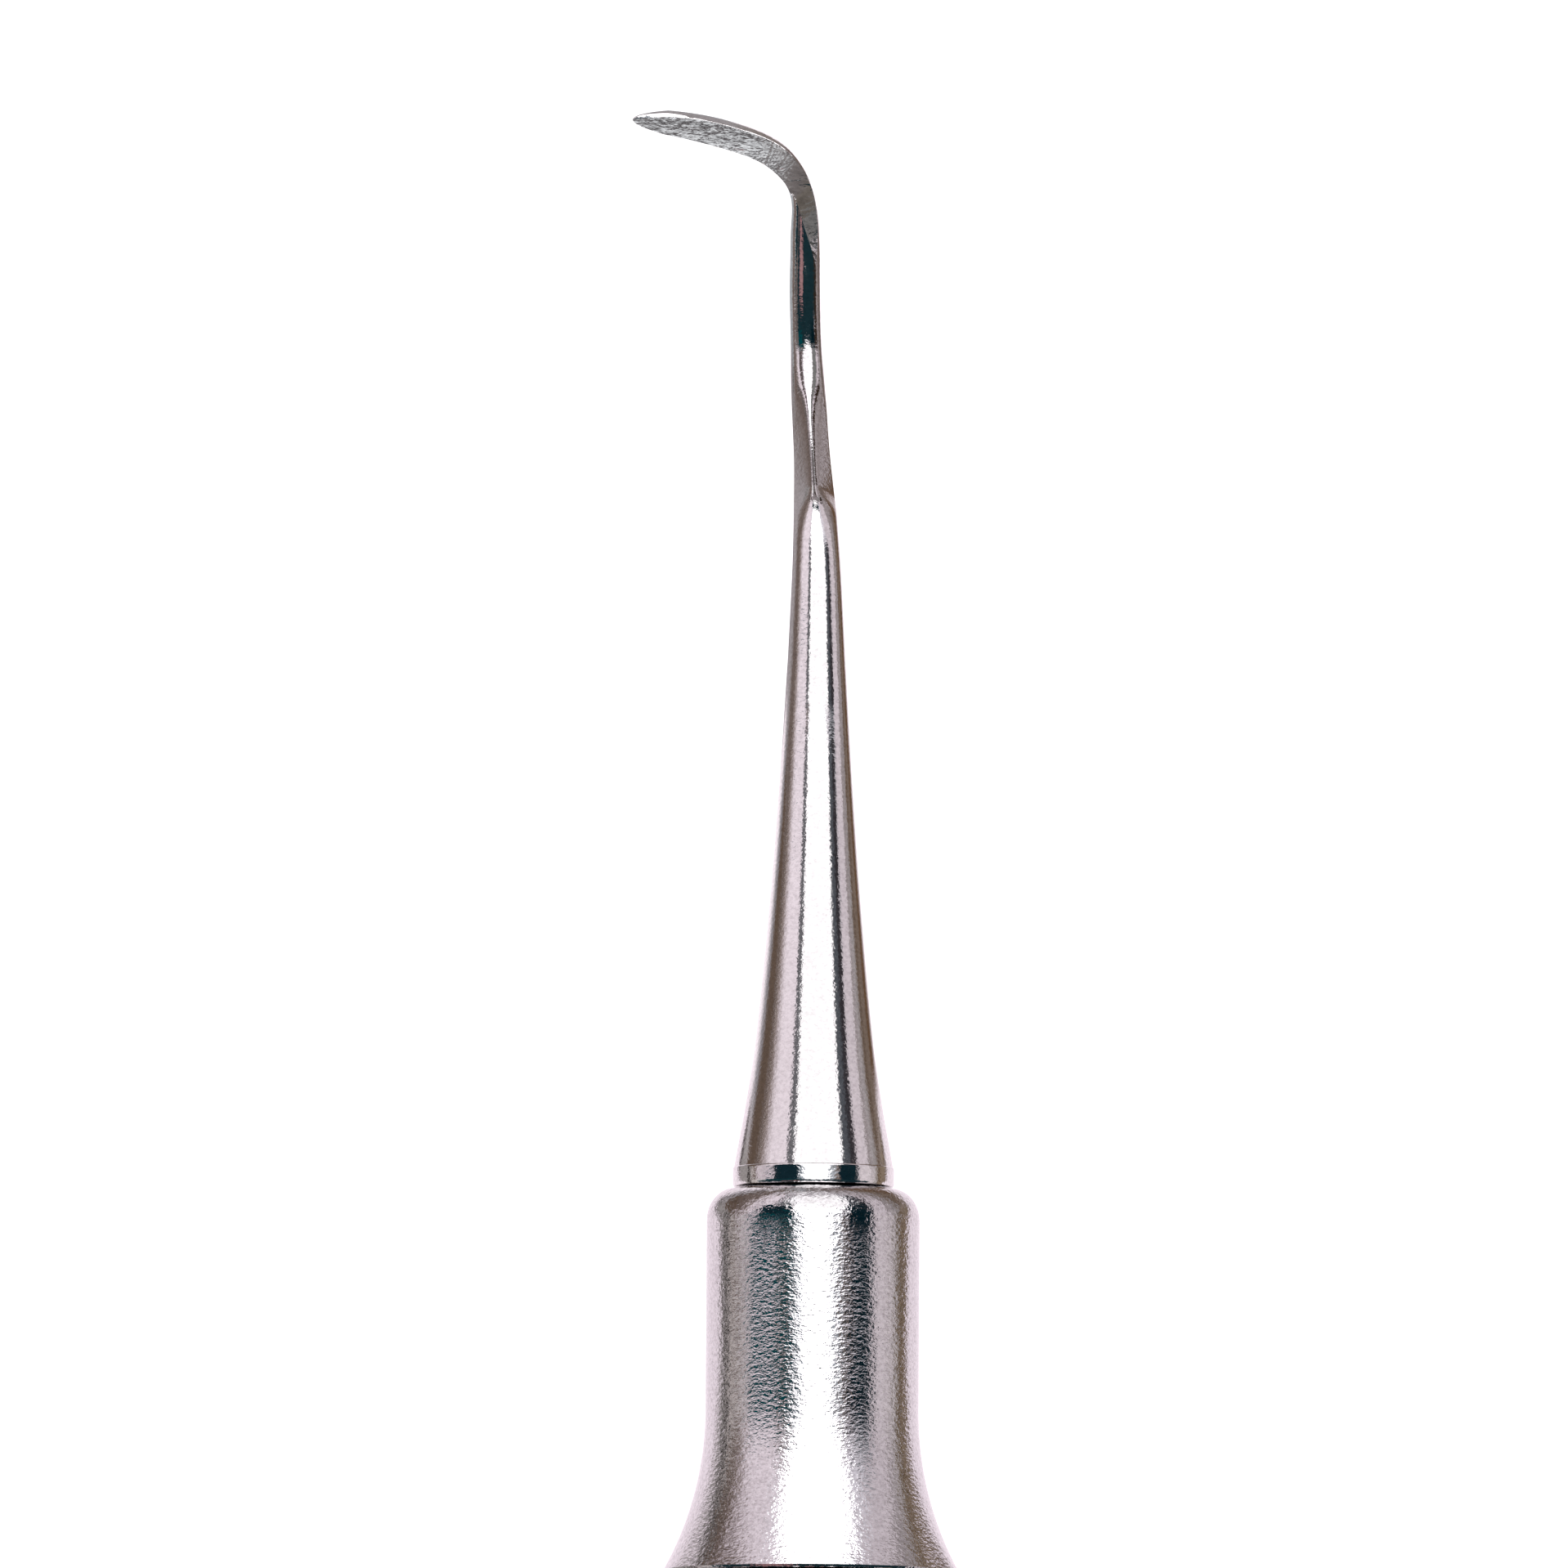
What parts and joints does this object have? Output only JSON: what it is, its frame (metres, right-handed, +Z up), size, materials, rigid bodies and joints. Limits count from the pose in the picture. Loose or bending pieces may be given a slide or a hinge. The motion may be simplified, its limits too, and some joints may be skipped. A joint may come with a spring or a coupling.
{
  "type": "hand scaler",
  "caption": "Double-ended dental hand scaler: hooked ground blades on tapering shanks, satin flared noses and a round knurled hollow handle.",
  "frame": {"origin": "on the tray under the middle of the handle, at the centre of the whole tool's box, at the height of its lowest point", "axes": "+Y along the handle towards the front working end, -X the way the front hook reaches, +Z up from the tray and the way the front blade's ground face looks"},
  "size_m": [0.012, 0.176, 0.0095],
  "materials": {
    "polished_steel": "polished, with a rough ground face on the blade",
    "satin_steel": "fine bead-blasted satin",
    "knurled_steel": "satin, with fine diamond knurling",
    "bond": "cured adhesive, hidden inside"
  },
  "bodies": {
    "root": {"front_working_end": "polished_steel", "rear_working_end": "polished_steel", "front_ferrule": "satin_steel", "rear_ferrule": "satin_steel", "handle_tube": "knurled_steel", "front_bond_sleeve": "bond", "rear_bond_sleeve": "bond"}
  },
  "joints": []
}
